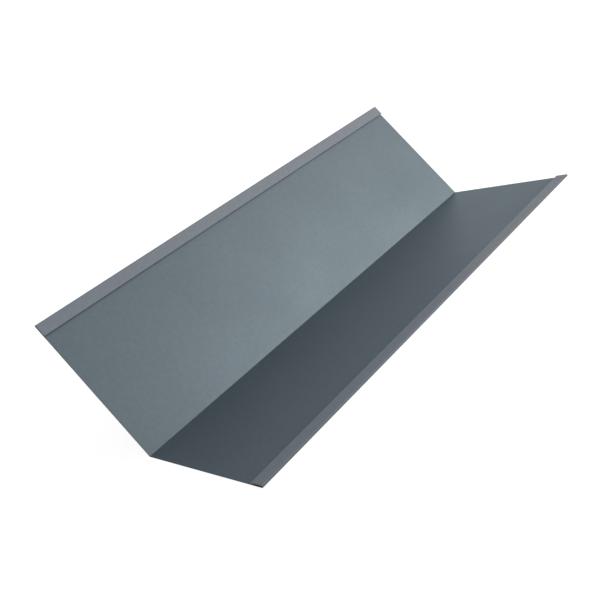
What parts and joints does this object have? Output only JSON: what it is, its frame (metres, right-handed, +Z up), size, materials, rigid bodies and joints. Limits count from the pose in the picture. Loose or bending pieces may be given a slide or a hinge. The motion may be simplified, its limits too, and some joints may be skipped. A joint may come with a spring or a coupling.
{
  "type": "valley flashing",
  "caption": "Sheet-metal valley flashing: an open V trough with an open hem turned in along each long edge.",
  "frame": {"origin": "on the floor, below the centre of the part's box, halfway along the valley", "axes": "+Y along the valley; +X from the valley out across the wing that lies flat; +Z up, with the other wing rising from the valley on the -X side at 60 degrees to the floor"},
  "size_m": [0.4342, 1, 0.2525],
  "materials": {
    "coated_steel": "matte"
  },
  "bodies": {
    "root": {"valley_flashing": "coated_steel"}
  },
  "joints": []
}
